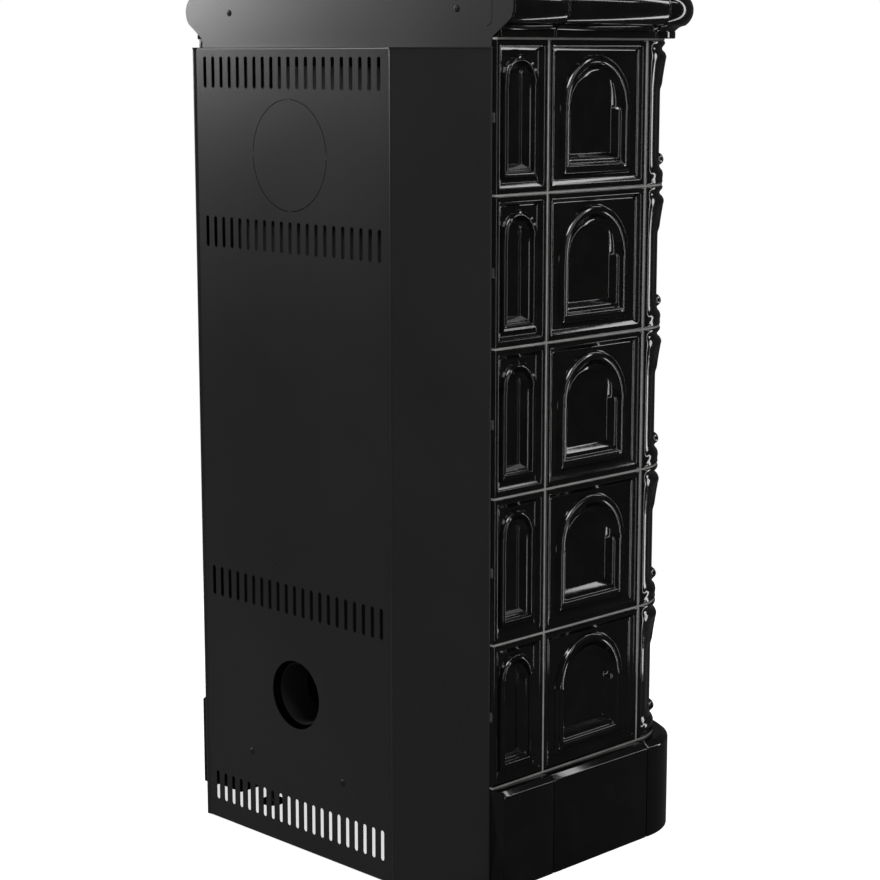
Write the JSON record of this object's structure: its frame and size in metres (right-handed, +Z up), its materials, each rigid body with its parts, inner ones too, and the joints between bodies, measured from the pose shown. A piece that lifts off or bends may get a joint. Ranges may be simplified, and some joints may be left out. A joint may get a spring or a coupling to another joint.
{
  "type": "tile-clad wood stove",
  "caption": "Upright wood stove clad in dark glazed relief tiles, with a rounded plinth and crown, a slotted folded rear casing, a glazed fire door and an ash drawer.",
  "frame": {"origin": "centre of the footprint at floor level", "axes": "+Z up, the fire door faces -Y and the folded rear casing faces +Y, +X is the stove's right side seen from the front"},
  "size_m": [0.732, 0.5634, 1.375],
  "materials": {
    "glazed_tile": "glossy black glaze",
    "grout": "matte grey grout",
    "casing_paint": "satin black stove paint",
    "stove_steel": "matte black stove paint",
    "cast_iron": "matte black",
    "bright_steel": "satin",
    "zinc_sheet": "galvanised",
    "firebrick": "matte buff",
    "ceramic_glass": "clear",
    "seal_rope": "woven glass fibre"
  },
  "bodies": {
    "stove": {"air_slider_guides": "zinc_sheet", "air_spigot": "stove_steel", "base_frame": "stove_steel", "casing_screws": "stove_steel", "corner_tiles": "glazed_tile", "crown_back_plate": "casing_paint", "crown_corner": "glazed_tile", "crown_front": "glazed_tile", "crown_long": "glazed_tile", "crown_short": "glazed_tile", "drawer_runners": "zinc_sheet", "firebox_body": "stove_steel", "fixed_grate": "cast_iron", "floor_bricks": "firebrick", "flue_collar": "stove_steel", "foot_lock_nuts": "bright_steel", "front_frame": "stove_steel", "front_tiles": "glazed_tile", "grate_guides": "zinc_sheet", "heat_shield": "stove_steel", "hinge_lugs": "cast_iron", "hinge_pins": "bright_steel", "latch_keeper": "cast_iron", "levelling_feet": "bright_steel", "log_retainer": "cast_iron", "lower_baffle": "firebrick", "plinth_corner": "glazed_tile", "plinth_front": "glazed_tile", "plinth_long": "glazed_tile", "plinth_short": "glazed_tile", "rear_casing": "casing_paint", "rear_flue_cap": "stove_steel", "rear_flue_stub": "stove_steel", "shield_spacers": "stove_steel", "side_panels": "casing_paint", "slim_tiles": "glazed_tile", "tile_clips": "zinc_sheet", "tile_grout": "grout", "tile_posts": "stove_steel", "top_plate": "casing_paint", "upper_deflector": "stove_steel", "wall_bricks": "firebrick", "wide_tiles": "glazed_tile"},
    "fire_door": {"fire_door": "cast_iron", "door_rope_seal": "seal_rope", "door_glass": "ceramic_glass", "glass_clips": "zinc_sheet", "hinge_knuckles": "cast_iron"},
    "door_handle": {"door_handle": "bright_steel", "door_latch": "bright_steel"},
    "ash_drawer": {"ash_tray": "zinc_sheet", "ash_drawer_front": "stove_steel", "ash_drawer_handle": "bright_steel"},
    "primary_air": {"primary_air_slider": "zinc_sheet", "primary_air_knob": "bright_steel"},
    "secondary_air": {"secondary_air_slider": "zinc_sheet", "secondary_air_knob": "bright_steel"},
    "shaker": {"shaking_grate": "cast_iron", "shaker_rod": "bright_steel", "shaker_knob": "bright_steel"}
  },
  "joints": [
    {"name": "door_hinge", "type": "hinge", "parent": "stove", "child": "fire_door", "pos_m": [0.203, -0.2329, 0.565], "axis": [0, 0, 1], "range_deg": [0, 110]},
    {"name": "handle_turn", "type": "hinge", "parent": "fire_door", "child": "door_handle", "pos_m": [-0.181, -0.2689, 0.579], "axis": [0, 1, 0], "range_deg": [0, 60]},
    {"name": "drawer_slide", "type": "slide", "parent": "stove", "child": "ash_drawer", "axis": [0, -1, 0], "range_m": [0, 0.3]},
    {"name": "primary_air_slide", "type": "slide", "parent": "stove", "child": "primary_air", "axis": [1, 0, 0], "range_m": [0, 0.015]},
    {"name": "secondary_air_slide", "type": "slide", "parent": "stove", "child": "secondary_air", "axis": [1, 0, 0], "range_m": [0, 0.015]},
    {"name": "shaker_slide", "type": "slide", "parent": "stove", "child": "shaker", "axis": [0, -1, 0], "range_m": [0, 0.025]}
  ]
}
